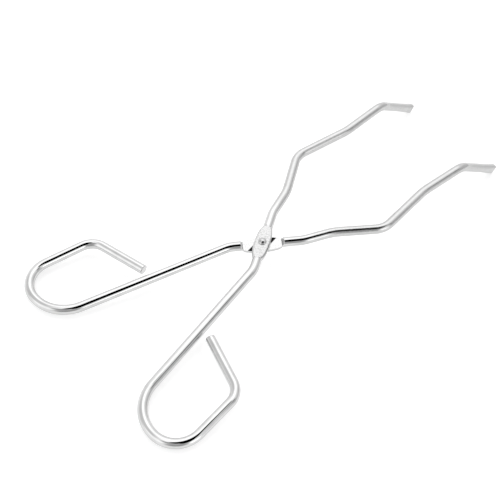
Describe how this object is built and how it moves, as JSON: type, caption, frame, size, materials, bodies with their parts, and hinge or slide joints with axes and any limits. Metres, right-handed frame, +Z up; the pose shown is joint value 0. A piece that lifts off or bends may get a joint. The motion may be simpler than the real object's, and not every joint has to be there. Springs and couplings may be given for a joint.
{
  "type": "crucible tongs",
  "caption": "Scissor-like tongs of bent steel rod with open finger loops, a riveted pressed-flat pivot, a bowed jaw and down-turned gripping tips.",
  "frame": {"origin": "under the middle of the tongs as they lie open on a bench, on the bench surface", "axes": "+Y along the tongs from the finger loops to the tips, +X to the right, +Z up from the bench; the plane of the arms leans up 5.0 degrees towards the tips"},
  "size_m": [0.1218, 0.2474, 0.023],
  "materials": {
    "plated_rod": "bright nickel-plated steel rod, satin where it is pressed flat",
    "plated_rivet": "bright nickel-plated steel"
  },
  "bodies": {
    "upper_arm_body": {"upper_arm": "plated_rod", "pivot_rivet": "plated_rivet"},
    "lower_arm_body": {"lower_arm": "plated_rod"}
  },
  "joints": [
    {"name": "pivot", "type": "hinge", "parent": "upper_arm_body", "child": "lower_arm_body", "pos_m": [0, -0.02042, 0.0112], "axis": [0, -0.0869, 0.9962], "range_deg": [-80, 22.9]}
  ]
}
